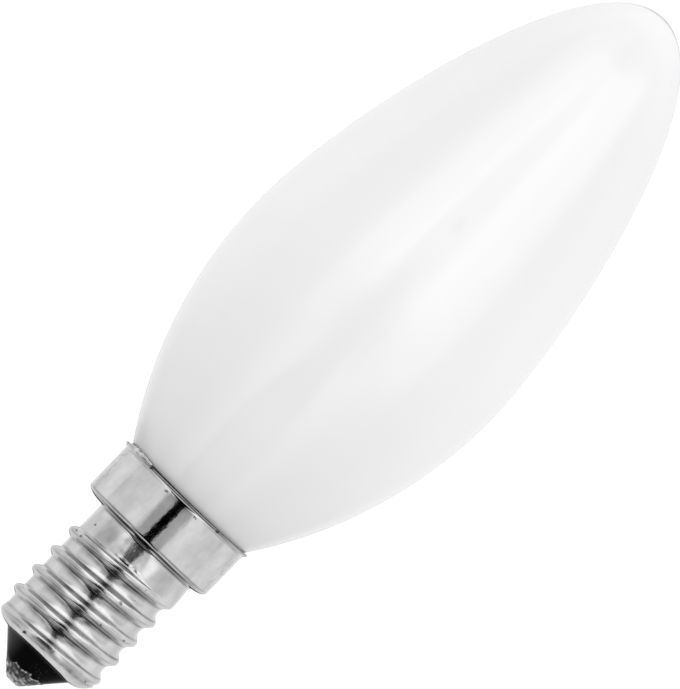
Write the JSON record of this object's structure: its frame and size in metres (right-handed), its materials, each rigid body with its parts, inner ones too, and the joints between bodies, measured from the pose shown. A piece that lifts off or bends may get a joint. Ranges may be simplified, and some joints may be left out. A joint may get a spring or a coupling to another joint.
{
  "type": "candle bulb",
  "caption": "Candle bulb with a smooth opal glass envelope, a flared skirt, a small screw cap and a soldered bottom contact, made to be screwed into a lamp holder.",
  "frame": {"origin": "on the bulb's axis, where the flat of the bottom contact ends", "axes": "+Z runs along the bulb's axis from the contact to the glass tip; -Y is the viewer's side in the picture; +X is the side where the thread runs out into the neck"},
  "size_m": [0.0342, 0.0342, 0.0993],
  "materials": {
    "opal_glass": "gloss opal white",
    "nickel_plate": "bright nickel plate",
    "cement": "matte",
    "black_glass": "gloss",
    "contact_metal": "dull",
    "solder": "rough satin"
  },
  "bodies": {
    "root": {"glass_bulb": "opal_glass", "screw_cap": "nickel_plate", "cement_ring": "cement", "cap_insulator": "black_glass", "contact_plate": "contact_metal", "contact_solder": "solder", "side_solder": "solder"}
  },
  "joints": []
}
